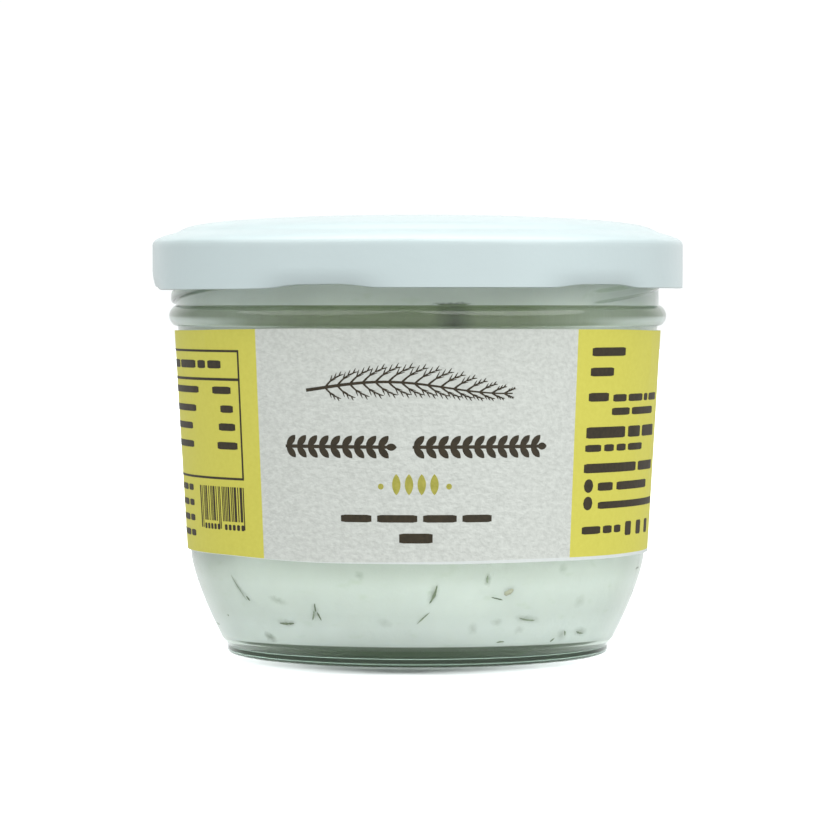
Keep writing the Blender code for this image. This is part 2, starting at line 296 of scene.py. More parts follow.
def glass_material():
    """Faintly green soda glass, a little wavy and stippled at its foot.

    It darkens with depth, and has painted shade in its colour on the sloping faces of the bead and thread, which turn
    light aside.
    """
    material, tree, shader = new_material("jar_glass")
    place = add_node(tree, "ShaderNodeTexCoord")
    facing = add_node(tree, "ShaderNodeSeparateXYZ")
    tree.links.new(place.outputs["Normal"], facing.inputs["Vector"])
    tilt = add_node(tree, "ShaderNodeMath", operation="ABSOLUTE")
    tree.links.new(facing.outputs["Z"], tilt.inputs[0])
    # Painted shade: a darker glass colour where the face slopes, on the bead and the thread ridges
    clear, painted_flank_shade = (0.96, 0.99, 0.97, 1), (0.62, 0.7, 0.58, 1)
    tint = ramp(tree, tilt.outputs["Value"], [(0.45, clear), (0.7, painted_flank_shade), (0.85, painted_flank_shade), (0.97, clear)])
    tree.links.new(tint.outputs["Color"], shader.inputs["Base Color"])
    split = add_node(tree, "ShaderNodeSeparateXYZ")
    tree.links.new(place.outputs["Object"], split.inputs["Vector"])
    stipple = add_node(tree, "ShaderNodeMapRange", From_Min=FROSTED_FOOT[0] * MM, From_Max=FROSTED_FOOT[1] * MM,
                       To_Min=FROSTED_ROUGHNESS, To_Max=0.015)
    tree.links.new(split.outputs["Z"], stipple.inputs["Value"])
    tree.links.new(stipple.outputs["Result"], shader.inputs["Roughness"])
    shader.inputs["IOR"].default_value = 1.52
    shader.inputs["Transmission Weight"].default_value = 1.0
    grain = object_noise(tree, 60, detail=2.0)
    add_bump(tree, shader, grain.outputs["Fac"], 0.0003, 0.1)
    depth = add_node(tree, "ShaderNodeVolumeAbsorption", Density=16.0)
    depth.inputs["Color"].default_value = (0.50, 0.78, 0.62, 1)
    tree.links.new(depth.outputs["Volume"], tree.nodes["Material Output"].inputs["Volume"])
    return material


def soft_patches(tree, patches, wobble):
    """How far sunken bits of herb darken the cheese: the sum of soft-edged blobs of 0 to 1."""
    place = add_node(tree, "ShaderNodeTexCoord")
    shift = add_node(tree, "ShaderNodeVectorMath", operation="MULTIPLY_ADD")
    tree.links.new(wobble.outputs["Color"], shift.inputs[0])
    shift.inputs[1].default_value = (PATCH_WOBBLE, PATCH_WOBBLE, PATCH_WOBBLE)
    tree.links.new(place.outputs["Object"], shift.inputs[2])
    total = None
    for angle_deg, height, half_length, half_width, lean_deg, depth in patches:
        angle = math.radians(angle_deg)
        spot = add_node(tree, "ShaderNodeMapping", vector_type="TEXTURE")
        middle = Vector(around(bore_radius(height), height, angle))
        spot.inputs["Location"].default_value = middle + Vector([PATCH_WOBBLE / 2] * 3)
        spot.inputs["Rotation"].default_value = (
            Matrix.Rotation(angle, 3, "Z") @ Matrix.Rotation(-math.radians(lean_deg), 3, "Y")
        ).to_euler()
        spot.inputs["Scale"].default_value = (half_length * MM, 2 * MM, half_width * MM)
        blob = add_node(tree, "ShaderNodeTexGradient", gradient_type="SPHERICAL")
        tree.links.new(shift.outputs["Vector"], spot.inputs["Vector"])
        tree.links.new(spot.outputs["Vector"], blob.inputs["Vector"])
        deeper = add_node(tree, "ShaderNodeMath", operation="MULTIPLY_ADD", use_clamp=True)
        tree.links.new(blob.outputs["Fac"], deeper.inputs[0])
        deeper.inputs[1].default_value = depth
        deeper.inputs[2].default_value = 0.0
        if total is not None:
            tree.links.new(total, deeper.inputs[2])
        total = deeper.outputs["Value"]
    return total


def cheese_material():
    """Moist soft cheese, slightly mottled, with soft shadows of sunken herb.

    Its colour has painted shade: darker by the label's edge, behind the bead, under the lid and on its underside, where
    less light reaches it, with a painted highlight in the middle of the underside.
    """
    material, tree, shader = new_material("soft_cheese")
    broad = object_noise(tree, 90, detail=4.0)
    colour = ramp(
        tree,
        broad.outputs["Fac"],
        [(0.36, srgb(206, 211, 207)), (0.5, srgb(209, 214, 210)), (0.66, srgb(212, 217, 213))],
    )

    def tinted(share, before, tint):
        """The colour so far, turned towards a tint by a share."""
        mix = add_node(tree, "ShaderNodeMix", data_type="RGBA")
        tree.links.new(share, mix.inputs["Factor"])
        tree.links.new(before, mix.inputs["A"])
        mix.inputs["B"].default_value = tint
        return mix.outputs["Result"]

    sunk = object_noise(tree, 260, detail=2.0, stretch=(1, 1, 2.2))
    faint = ramp(tree, sunk.outputs["Fac"], [(0.62, (0, 0, 0, 1)), (0.85, (0.6, 0.6, 0.6, 1))])
    herbed = tinted(faint.outputs["Color"], colour.outputs["Color"], srgb(190, 200, 184))
    wobble = object_noise(tree, 1500, detail=2.0)
    herbed = tinted(soft_patches(tree, SOFT_HERBS, wobble), herbed, srgb(96, 108, 86))
    place = add_node(tree, "ShaderNodeTexCoord")
    split = add_node(tree, "ShaderNodeSeparateXYZ")
    tree.links.new(place.outputs["Object"], split.inputs["Vector"])
    level = add_node(tree, "ShaderNodeMapRange", From_Max=CHEESE_TOP * MM)
    tree.links.new(split.outputs["Z"], level.inputs["Value"])
    # Painted shade: shares of a dark olive by height, one for the front and one for the sides
    painted_shade_ramp = ramp(
        tree,
        level.outputs["Result"],
        [(height / CHEESE_TOP, (front, side, 0, 1)) for height, front, side in PAINTED_SHADE_BY_HEIGHT],
    )
    shares = add_node(tree, "ShaderNodeSeparateColor")
    tree.links.new(painted_shade_ramp.outputs["Color"], shares.inputs["Color"])
    sideways = add_node(tree, "ShaderNodeMapRange", From_Min=-0.9 * BORE_RADIUS * MM, From_Max=-0.66 * BORE_RADIUS * MM)
    tree.links.new(split.outputs["Y"], sideways.inputs["Value"])
    strength = add_node(tree, "ShaderNodeMix", data_type="FLOAT")
    tree.links.new(sideways.outputs["Result"], strength.inputs["Factor"])
    tree.links.new(shares.outputs["Red"], strength.inputs["A"])
    tree.links.new(shares.outputs["Green"], strength.inputs["B"])
    # Painted shade: the cheese turned towards a dark olive by those shares
    dark = tinted(strength.outputs["Result"], herbed, srgb(90, 105, 56))
    dark = tinted(soft_patches(tree, NECK_HERBS, wobble), dark, srgb(44, 54, 38))
    # Painted shade on the underside, darker outwards, with a lighter middle that is a painted highlight
    middle = add_node(tree, "ShaderNodeVectorMath", operation="MULTIPLY")
    tree.links.new(place.outputs["Object"], middle.inputs[0])
    middle.inputs[1].default_value = (1, 1, 0)
    out = add_node(tree, "ShaderNodeVectorMath", operation="LENGTH")
    tree.links.new(middle.outputs["Vector"], out.inputs[0])
    across = add_node(tree, "ShaderNodeMapRange", From_Max=FLOOR_RADIUS * MM)
    tree.links.new(out.outputs["Value"], across.inputs["Value"])
    underside = ramp(
        tree,
        across.outputs["Result"],
        [(0.34, srgb(158, 168, 152)), (0.42, srgb(114, 125, 110)), (0.65, srgb(106, 118, 102))],
    )
    painted_underside_mask = add_node(tree, "ShaderNodeMapRange", From_Min=UNDERSIDE_TOP * MM, From_Max=(UNDERSIDE_TOP + 0.1) * MM,
                       To_Min=1.0, To_Max=0.0)
    tree.links.new(split.outputs["Z"], painted_underside_mask.inputs["Value"])
    mix = add_node(tree, "ShaderNodeMix", data_type="RGBA")
    tree.links.new(painted_underside_mask.outputs["Result"], mix.inputs["Factor"])
    tree.links.new(dark, mix.inputs["A"])
    tree.links.new(underside.outputs["Color"], mix.inputs["B"])
    tree.links.new(mix.outputs["Result"], shader.inputs["Base Color"])
    shader.inputs["Roughness"].default_value = 0.5
    shader.inputs["Subsurface Weight"].default_value = 1.0
    shader.inputs["Subsurface Radius"].default_value = (1.0, 0.97, 0.9)
    shader.inputs["Subsurface Scale"].default_value = 0.004
    fine = object_noise(tree, 900, detail=3.0)
    add_bump(tree, shader, fine.outputs["Fac"], 0.0002, 0.3)
    return material


def herb_material(name, dark, light, fine=1400):
    """Dried herb: streaky green between two colours."""
    material, tree, shader = new_material(name)
    grain = object_noise(tree, fine, detail=3.0)
    colour = ramp(tree, grain.outputs["Fac"], [(0.35, dark), (0.65, light)])
    tree.links.new(colour.outputs["Color"], shader.inputs["Base Color"])
    shader.inputs["Roughness"].default_value = 0.6
    add_bump(tree, shader, grain.outputs["Fac"], 0.0001, 0.4)
    return material


def lid_material():
    """White lacquer on pressed steel, faintly uneven, with a soft gloss."""
    material, tree, shader = new_material("white_lacquer")
    broad = object_noise(tree, 45, detail=2.0)
    colour = ramp(
        tree, broad.outputs["Fac"], [(0.35, srgb(198, 211, 212)), (0.65, srgb(201, 215, 216))]
    )
    tree.links.new(colour.outputs["Color"], shader.inputs["Base Color"])
    fine = object_noise(tree, 700, detail=3.0)
    rough = add_node(tree, "ShaderNodeMapRange", To_Min=0.30, To_Max=0.42)
    tree.links.new(fine.outputs["Fac"], rough.inputs["Value"])
    tree.links.new(rough.outputs["Result"], shader.inputs["Roughness"])
    shader.inputs["Coat Weight"].default_value = 0.25
    shader.inputs["Coat Roughness"].default_value = 0.12
    add_bump(tree, shader, fine.outputs["Fac"], 0.00008, 0.35)
    return material


def paper_material(name, low, high, speckle, relief):
    """Matte printed paper with a mottled ink and a fine grain."""
    material, tree, shader = new_material(name)
    mottle = object_noise(tree, 1500, detail=4.0, roughness=0.6, stretch=(0.8, 0.8, 1.0))
    colour = ramp(tree, mottle.outputs["Fac"], [(0.5 - speckle, low), (0.5 + speckle, high)])
    tree.links.new(colour.outputs["Color"], shader.inputs["Base Color"])
    shader.inputs["Roughness"].default_value = 0.62
    shader.inputs["Specular IOR Level"].default_value = 0.45
    add_bump(tree, shader, mottle.outputs["Fac"], relief, 0.6)
    return material


def ink_material(name, low, high):
    """Printed ink, slightly patchy."""
    material, tree, shader = new_material(name)
    grain = object_noise(tree, 1500, detail=2.0)
    colour = ramp(tree, grain.outputs["Fac"], [(0.35, low), (0.65, high)])
    tree.links.new(colour.outputs["Color"], shader.inputs["Base Color"])
    shader.inputs["Roughness"].default_value = 0.6
    add_bump(tree, shader, grain.outputs["Fac"], 0.00004, 0.3)
    return material


# Mesh helpers

def around(radius, height, angle):
    """The point at this angle from the front, in metres."""
    return (radius * math.sin(angle) * MM, -radius * math.cos(angle) * MM, height * MM)


def steps(start, end, count):
    """Evenly spaced numbers from start to end, both included."""
    return [start + (end - start) * index / (count - 1) for index in range(count)]


def ease(value):
    """0 to 1 with a level start and end."""
    value = min(max(value, 0.0), 1.0)
    return value * value * (3 - 2 * value)


def degrees_past(angle, start):
    """How far an angle lies past a start in degrees, from 0 to 360."""
    return (math.degrees(angle) - start) % 360


def softened(outline, rounds):
    """The outline with its corners cut, so that it runs smoothly."""
    for _ in range(rounds):
        cut = [outline[0]]
        for (r0, z0), (r1, z1) in zip(outline, outline[1:]):
            cut.append((0.75 * r0 + 0.25 * r1, 0.75 * z0 + 0.25 * z1))
            cut.append((0.25 * r0 + 0.75 * r1, 0.25 * z0 + 0.75 * z1))
        outline = cut + [outline[-1]]
    return outline


def new_piece(name, points, faces, materials, sharp=35):
    """A smooth-shaded mesh piece."""
    mesh = bpy.data.meshes.new(name)
    mesh.from_pydata(points, [], faces)
    mesh.update()
    mesh.shade_smooth()
    mesh.set_sharp_from_angle(angle=math.radians(sharp))
    for material in materials:
        mesh.materials.append(material)
    piece = bpy.data.objects.new(name, mesh)
    bpy.context.collection.objects.link(piece)
    return piece


def turned_piece(name, outline, count, material, reshape):
    """A closed piece turned from an outline that starts and ends on the axis."""
    points, rings = [], []
    for radius, height in outline:
        if radius < ON_AXIS:
            rings.append([len(points)])
            points.append((0, 0, height * MM))
            continue
        ring = []
        for step in range(count):
            angle = step * math.tau / count
            ring.append(len(points))
            points.append(around(*reshape(radius, height, angle), angle))
        rings.append(ring)
    faces = []
    for lower, upper in zip(rings, rings[1:]):
        for step in range(count):
            after = (step + 1) % count
            corners = [
                lower[step % len(lower)],
                lower[after % len(lower)],
                upper[after % len(upper)],
                upper[step % len(upper)],
            ]
            faces.append(list(dict.fromkeys(corners)))
    return new_piece(name, points, faces, [material])


# Glass

def label_radius(height):
    """Outer radius of the label, which tapers towards the foot."""
    return LABEL_TOP_RADIUS - TAPER * (LABEL_TOP - height)


def glass_radius(height):
    """Outer radius of the glass from the heel up to the bead."""
    height = min(height, LABEL_TOP)
    radius = label_radius(max(height, HEEL_TOP)) - PAPER_AND_GLUE
    if height < HEEL_TOP:
        depth = (HEEL_TOP - height) / (HEEL_TOP - HEEL_BOTTOM)
        radius -= HEEL_DROP * depth**HEEL_POWER
    return radius


def bore_radius(height):
    """Inner radius of the glass above the floor."""
    if height >= BEAD_BOTTOM:
        return BORE_RADIUS
    wall_top = glass_radius(BEAD_BOTTOM) - BORE_RADIUS
    share = (BEAD_BOTTOM - max(height, HEEL_TOP)) / (BEAD_BOTTOM - HEEL_TOP)
    radius = glass_radius(max(height, HEEL_TOP)) - wall_top - (WALL - wall_top) * share
    if height < HEEL_TOP:
        depth = (HEEL_TOP - height) / (HEEL_TOP - INNER_HEEL_BOTTOM)
        radius -= INNER_HEEL_DROP * depth**2
    return radius


def floor_corner():
    """The rounded corner between the bore and the floor inside the jar."""
    inwards, share = FLOOR_CORNER
    return (
        bore_radius(INNER_HEEL_BOTTOM) - inwards,
        INNER_HEEL_BOTTOM - share * (INNER_HEEL_BOTTOM - FLOOR_HEIGHT),
    )


def thread_bump(height, angle):
    """How far the thread ridges stand out of the neck here."""
    bump = 0.0
    for start, low in THREAD_STARTS:
        past = degrees_past(angle, start)
        if past > THREAD_TURN:
            continue
        middle = low + THREAD_CLIMB * past
        across = abs(height - middle) / THREAD_HALF_WIDTH
        if across < 1:
            run_in = ease(past / THREAD_RUN_IN) * ease((THREAD_TURN - past) / THREAD_RUN_IN)
            bump = max(bump, run_in * ease(1.5 * (1 - across)))
    return THREAD_PROUD * bump


def seam_bump(angle):
    """The fine mould seams down the outside."""
    nearest = min(abs((degrees_past(angle, seam) + 180) % 360 - 180) for seam in SEAM_ANGLES)
    return SEAM_PROUD if nearest < 0.5 else 0.0


def glass_shape(radius, height, angle):
    """Thread ridges, mould seams, a knurled foot and a slight wave on the outside of the glass."""
    outside = radius > bore_radius(max(height, INNER_HEEL_BOTTOM)) + 0.5 and height > 2.2
    if outside:
        if abs(radius - NECK_RADIUS) < 1e-6 and BEAD_TOP < height < RIM_TOP:
            radius += thread_bump(height, angle)
        wave = noise.noise(Vector((2 * math.sin(angle), 2 * math.cos(angle), height * 0.06)))
        radius += GLASS_WAVE * wave + seam_bump(angle)
    elif height < 0.05 and 27.0 < radius < 29.2:
        height += KNURL_HEIGHT * (0.5 - 0.5 * math.cos(KNURLS * angle))
    return radius, height


def jar_outline():
    """The glass from the middle of its underside, up the outside, over the rim and down the bore."""
    underside = [(0.0, PUSH_UP_HEIGHT)]
    for share in steps(0.05, 1.0, 28)[:-1]:
        underside.append((BEARING_INNER_RADIUS * share, PUSH_UP_HEIGHT * (1 - share**4)))
    underside.append((BEARING_INNER_RADIUS, 0.0))
    foot = softened([underside[-1], (27.6, 0.0), (28.8, 0.0)] + FOOT + [(glass_radius(2.5), 2.5)], 2)
    heel = [(glass_radius(z), z) for z in steps(2.8, HEEL_TOP, 27)]
    wall = [(glass_radius(z), z) for z in steps(HEEL_TOP, BEAD_BOTTOM, 16)[1:]]
    bead = []
    for share in steps(0.0, 1.0, 25)[1:]:
        height = BEAD_BOTTOM + (BEAD_TOP - BEAD_BOTTOM) * share
        bulge = max(0.0, math.sin(share * math.pi)) ** BEAD_FULLNESS
        bead.append((NECK_RADIUS + BEAD_PROUD * bulge, height))
    neck = [(NECK_RADIUS, z) for z in steps(BEAD_TOP + 0.2, NECK_TOP, 52)]
    rim_middle = (NECK_RADIUS + BORE_RADIUS) / 2
    rim_half = (NECK_RADIUS - BORE_RADIUS) / 2
    rim = []
    for turn in steps(0.0, math.pi, 12)[1:-1]:
        rim.append((rim_middle + rim_half * math.cos(turn), RIM_TOP - RIM_ROUND * (1 - math.sin(turn))))
    bore = [(bore_radius(z), z) for z in steps(NECK_TOP, HEEL_TOP, 20)]
    inner_heel = [(bore_radius(z), z) for z in steps(HEEL_TOP, INNER_HEEL_BOTTOM, 18)[1:]]
    floor = [inner_heel[-1], floor_corner(), (FLOOR_RADIUS, FLOOR_HEIGHT), (FLOOR_RADIUS - 4, FLOOR_HEIGHT)]
    floor = softened(floor, 2)
    return underside[:-1] + foot + heel + wall + bead + neck + rim + bore + inner_heel[:-1] + floor + [
        (0.0, FLOOR_HEIGHT)
    ]


def make_glass(material):
    piece = turned_piece("jar_glass", jar_outline(), GLASS_AROUND, material, glass_shape)
    piece.visible_shadow = False
    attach(piece, "root")
    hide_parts("jar")
    return piece


# Cheese and herbs

def cheese_radius(height):
    """Radius of the cheese, which reaches just into the glass so that no air gap shows."""
    return bore_radius(height) + CHEESE_REACH


def cheese_shape(radius, height, angle):
    """A spooned, uneven top."""
    if height > CHEESE_TOP - 1.5 and radius < BORE_RADIUS - 0.3:
        place = Vector((radius * math.sin(angle) * 0.12, radius * math.cos(angle) * 0.12, 0.0))
        height += 0.9 * noise.noise(place) - 0.4
    return radius, height


def make_cheese(material):
    """The fill, from the floor of the jar to its level."""
    base = FLOOR_HEIGHT - CHEESE_REACH
    corner_radius, corner_height = floor_corner()
    floor = [(0.0, base), (FLOOR_RADIUS, base), (corner_radius + CHEESE_REACH, corner_height - CHEESE_REACH)]
    heel = [(cheese_radius(z), z) for z in steps(INNER_HEEL_BOTTOM, HEEL_TOP, 18)]
    side = [(cheese_radius(z), z) for z in steps(HEEL_TOP, CHEESE_TOP - 1.2, 16)[1:]]
    top = [(r, CHEESE_TOP - 0.1) for r in steps(BORE_RADIUS - 0.8, 2.0, 14)] + [(0.0, CHEESE_TOP - 0.3)]
    outline = [floor[0]] + [(r, base) for r in steps(6, FLOOR_RADIUS - 2, 4)]
    outline += softened(floor[1:] + heel[:1], 2) + heel[1:] + side + top
    piece = turned_piece("cheese_fill", outline, CHEESE_AROUND, material, cheese_shape)
    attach(piece, "root")
    return piece


def herb_points(herb, draw):
    """Stations along a bit of herb: its middle line with half width and half thickness."""
    angle_deg, height, length, width, lean_deg, _ = herb
    angle, lean = math.radians(angle_deg), math.radians(lean_deg)
    bend = draw.uniform(-0.07, 0.07) * length
    stations = []
    for along in steps(-length / 2, length / 2, 13):
        share = 2 * along / length
        fullness = math.sqrt(max(0.02, 1 - abs(share) ** 2.2)) * draw.uniform(0.62, 1.1)
        off = bend * (1 - share * share)
        centre_height = height + along * math.sin(lean) + off * math.cos(lean)
        radius = cheese_radius(centre_height)
        turn = angle + (along * math.cos(lean) - off * math.sin(lean)) / radius
        stations.append((turn, centre_height, width / 2 * fullness, lean))
    return stations


def add_herb(points, faces, herb, draw, sides=8, thick=0.10):
    """One slim flattened bit of herb lying in the face of the cheese."""
    first_ring = None
    for turn, height, half_width, lean in herb_points(herb, draw):
        start = len(points)
        for side in range(sides):
            spin = side * math.tau / sides
            across = half_width * math.cos(spin)
            ring_height = height + across * math.cos(lean)
            radius = cheese_radius(ring_height)
            ring_turn = turn - across * math.sin(lean) / radius
            out = 0.03 + thick * math.sin(spin) * min(1.0, half_width * 5)
            points.append(around(radius + min(out, 0.07), ring_height, ring_turn))
        if first_ring is None:
            faces.append([start + side for side in range(sides)][::-1])
        else:
            for side in range(sides):
                after = (side + 1) % sides
                faces.append([first_ring + side, first_ring + after, start + after, start + side])
        first_ring = start
    faces.append([first_ring + side for side in range(sides)])


def herbs_behind():
    """Bits of herb round the sides and back, spread evenly with a seeded draw."""
    draw = random.Random(HERB_SEED)
    spacing = (HERBS_BEHIND_TO - HERBS_BEHIND_FROM) / HERBS_BEHIND
    found = []
    for index in range(HERBS_BEHIND):
        angle = HERBS_BEHIND_FROM + spacing * (index + draw.uniform(0.1, 0.9))
        length = draw.uniform(0.9, 3.6)
        found.append(
            (angle, draw.uniform(5.5, 15.0), length, draw.uniform(0.25, 0.5), draw.uniform(-75, 80),
             draw.choice([0.4, 0.5, 0.7, 1.0, 1.0]))
        )
    return found


def make_herbs():
    """The herbs in two depths of green, and the odd tan bit."""
    groups = [
        ("herb_dark", lambda d: d >= 0.75, srgb(84, 96, 72), srgb(112, 124, 96)),
        ("herb_mid", lambda d: 0 <= d < 0.75, srgb(112, 124, 102), srgb(140, 152, 128)),
        ("herb_tan", lambda d: d < 0, srgb(148, 148, 126), srgb(166, 166, 144)),
    ]
    herbs = HERBS_IN_FRONT + herbs_behind()
    pieces = []
    for name, chosen, dark, light in groups:
        draw = random.Random(HERB_SEED + len(pieces))
        points, faces = [], []
        for herb in herbs:
            if chosen(herb[-1]):
                add_herb(points, faces, herb, draw)
        piece = new_piece(name, points, faces, [herb_material(name, dark, light)])
        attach(piece, "root")
        pieces.append(piece)
    return pieces


# Lid

def lug_share(angle, half_angle):
    """1 in the middle of a lug, 0 between lugs."""
    off = min(abs((degrees_past(angle, lug) + 180) % 360 - 180) for lug in LUGS_AT)
    return ease(1.6 * (1 - off / half_angle))


def lid_shape(radius, height, angle):
    """Press the lugs into the lower edge of the skirt, which sits a little lower to the left."""
    share = lug_share(angle, LUG_HALF_ANGLE)
    low = max(0.0, 1 - (height - SKIRT_BOTTOM) / LUG_DENT_HEIGHT)
    if radius > CURL_RADIUS - 0.1:
        past = degrees_past(angle, LOW_SIDE_ENDS)
        height += SKIRT_TILT * ease(past / 30) * ease((LOW_SIDE_STARTS - past) / 30) * min(low, 1.0)
    if radius < CURL_RADIUS + 0.1:
        if height < SKIRT_BOTTOM + CURL_HEIGHT + 0.1:
            radius -= (CURL_RADIUS - LUG_INNER_RADIUS) * share
            height += LUG_LIFT * share * low
    elif radius <= CLOSURE_RADIUS:
        radius -= LUG_DENT * lug_share(angle, DENT_HALF_ANGLE) * low**2
        height += LUG_LIFT * share * low
    return radius, height


def make_lid(material):
    """The twist-off lid: crowned top, sloping shoulder, skirt, inward curl and lugs."""
    crown = softened([(0.0, TOTAL_HEIGHT)] + CROWN[::-1] + SHOULDER[::-1], 2)
    skirt = [(CLOSURE_RADIUS, z) for z in steps(64.6, SKIRT_BOTTOM + EDGE_ROUND, 22)]
    edge_middle = (CLOSURE_RADIUS - EDGE_ROUND, SKIRT_BOTTOM)
    edge = [skirt[-1], edge_middle, (CURL_RADIUS + EDGE_ROUND, SKIRT_BOTTOM), (CURL_RADIUS, SKIRT_BOTTOM + 0.4)]
    edge = softened(edge, 2)[1:]
    curl_top = SKIRT_BOTTOM + CURL_HEIGHT
    inner_wall = CLOSURE_RADIUS - SHEET
    curl = [(CURL_RADIUS, z) for z in steps(SKIRT_BOTTOM + 0.6, curl_top, 5)]
    inside = [(inner_wall, z) for z in steps(curl_top + 0.6, 64.9, 5)]
    under = [(r - SHEET * 0.5, z - SHEET) for r, z in (SHOULDER[2:] + CROWN)]
    outline = crown + skirt + edge + curl + inside + under + [(0.0, TOTAL_HEIGHT - SHEET)]
    piece = turned_piece("lid_shell", outline, LID_AROUND, material, lid_shape)
    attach(piece, "root")
    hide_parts("lid")
    return piece


# Label and its print

def wrinkle(angle, height):
    """How far the paper stands up here."""
    lift = 0.0
    for at, middle, half_width, half_height, proud in WRINKLES:
        across = (math.degrees(angle) - at + 180) % 360 - 180
        across = across * math.pi / 180 * PRINT_RADIUS / half_width
        along = (height - middle) / half_height
        lift += proud * math.exp(-across * across - along * along)
    return lift


def label_point(angle, height, out=0.0):
    """A point on the face of the label, in metres."""
    return around(label_radius(height) + wrinkle(angle, height) + out - 0.02, height, angle)


def bottom_margin(angle):
    """Height of the unprinted strip along the lower edge, which widens to the right."""
    return 0.08 + 0.42 * ease((math.degrees(angle) + 34) / 60)


def edge_wave(angle, seed):
    """The cut edges run a little unevenly."""
    return 0.07 * noise.noise(Vector((3 * math.sin(angle), 3 * math.cos(angle), seed)))


def label_angles():
    """Columns round the label, with one exactly on each border between its panels."""
    half_turn = math.pi - LABEL_SEAM_WIDTH / 2 / label_radius(LABEL_BOTTOM)
    stops = [-half_turn, math.radians(PANEL_LEFT), math.radians(PANEL_RIGHT), half_turn]
    angles = [stops[0]]
    for start, end in zip(stops, stops[1:]):
        count = max(2, round(LABEL_COLUMNS * (end - start) / math.tau))
        angles += steps(start, end, count + 1)[1:]
    return angles


def make_label(materials):
    """The paper band: cream in front, yellow round the sides, a bare strip along the lower edge."""
    angles = label_angles()
    points, faces, slots = [], [], []
    columns = []
    for angle in angles:
        top = LABEL_TOP + edge_wave(angle, 1.0) + 0.12 - LABEL_SAG * math.sin(angle) ** 4
        bottom = LABEL_BOTTOM + edge_wave(angle, 7.0) + 0.07 + LABEL_RISE * ease((-math.degrees(angle) - 20) / 35)
        heights = [bottom, bottom + bottom_margin(angle)] + steps(bottom + 0.7, top, LABEL_ROWS)
        column = []
        for height in heights:
            column.append(len(points))
            points.append(label_point(angle, height))
        for height in heights[::-1]:
            column.append(len(points))
            points.append(around(glass_radius(height) + 0.04, height, angle))
        columns.append(column)
    count = len(columns[0])
    face_rows = count // 2 - 1
    for (left, right), angle in zip(zip(columns, columns[1:]), angles):
        middle = math.degrees(angle) + 0.1
        for index in range(count):
            after = (index + 1) % count
            faces.append([left[index], right[index], right[after], left[after]])
            if 1 <= index < face_rows:
                slots.append(0 if PANEL_LEFT < middle < PANEL_RIGHT else 1)
            else:
                slots.append(2)
    faces += [columns[0][::-1], columns[-1]]
    slots += [2, 2]
    piece = new_piece("label_paper", points, faces, materials)
    piece.data.polygons.foreach_set("material_index", slots)
    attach(piece, "root")
    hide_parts("label")
    return piece


class Print:
    """Flat shapes of one ink, laid on the label as thin closed bodies."""

    def __init__(self):
        self.points = []
        self.faces = []

    def ribbon(self, path, halves):
        """A strip along a path of (across, height), with a half width at each point."""
        before = None
        for index, (across, height) in enumerate(path):
            ahead = path[min(index + 1, len(path) - 1)]
            behind = path[max(index - 1, 0)]
            run, rise = ahead[0] - behind[0], ahead[1] - behind[1]
            length = math.hypot(run, rise) or 1.0
            side = (-rise / length, run / length)
            half = max(halves[index], 0.015)
            start = len(self.points)
            for sign, out in ((1, INK_PROUD), (-1, INK_PROUD), (-1, -INK_SUNK), (1, -INK_SUNK)):
                at_across = across + sign * half * side[0]
                at_height = height + sign * half * side[1]
                self.points.append(label_point(at_across / PRINT_RADIUS, at_height, out))
            if before is None:
                self.faces.append([start, start + 1, start + 2, start + 3])
            else:
                for corner in range(4):
                    after = (corner + 1) % 4
                    self.faces.append([before + corner, start + corner, start + after, before + after])
            before = start
        self.faces.append([before + 3, before + 2, before + 1, before])

    def bar(self, left, right, height, tall, soft=0.12):
        """A level bar with slightly rounded ends."""
        count = max(4, math.ceil((right - left) / 0.7) + 1)
        path = [(across, height) for across in steps(left, right, count)]
        halves = [tall / 2] * count
        halves[0] = halves[-1] = tall / 2 - soft
        self.ribbon(path, halves)

    def square(self, left, height, size, soft=0.25):
        """A rounded square."""
        path = [(left + along, height) for along in (0.0, soft, size / 2, size - soft, size)]
        self.ribbon(path, [size / 2 - soft] + [size / 2] * 3 + [size / 2 - soft])

    def upright(self, across, low, high, wide):
        """An upright line."""
        count = max(2, math.ceil((high - low) / 1.2) + 1)
        self.ribbon([(across, height) for height in steps(low, high, count)], [wide / 2] * count)

    def leaf(self, across, height, length, wide, lean_deg, blunt=1.0):
        """A pointed leaf, or a disc when it is as wide as long and blunt."""
        lean = math.radians(lean_deg)
        path, halves = [], []
        for along in steps(-length / 2, length / 2, 13):
            share = 2 * along / length
            path.append((across + along * math.cos(lean), height + along * math.sin(lean)))
            halves.append(wide / 2 * max(0.0, 1 - share * share) ** blunt)
        self.ribbon(path, halves)

    def disc(self, across, height, size):
        self.leaf(across, height, size, size, 0, 0.5)

    def words(self, left, right, height, tall, widths, gap=0.9):
        """A line of text as bars, one for each word."""
        room = right - left - gap * (len(widths) - 1)
        scale = room / sum(widths)
        for width in widths:
            self.bar(left, left + width * scale, height, tall)
            left += width * scale + gap

    def piece(self, name, material):
        made = new_piece(name, self.points, self.faces, [material])
        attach(made, "root")
        return made


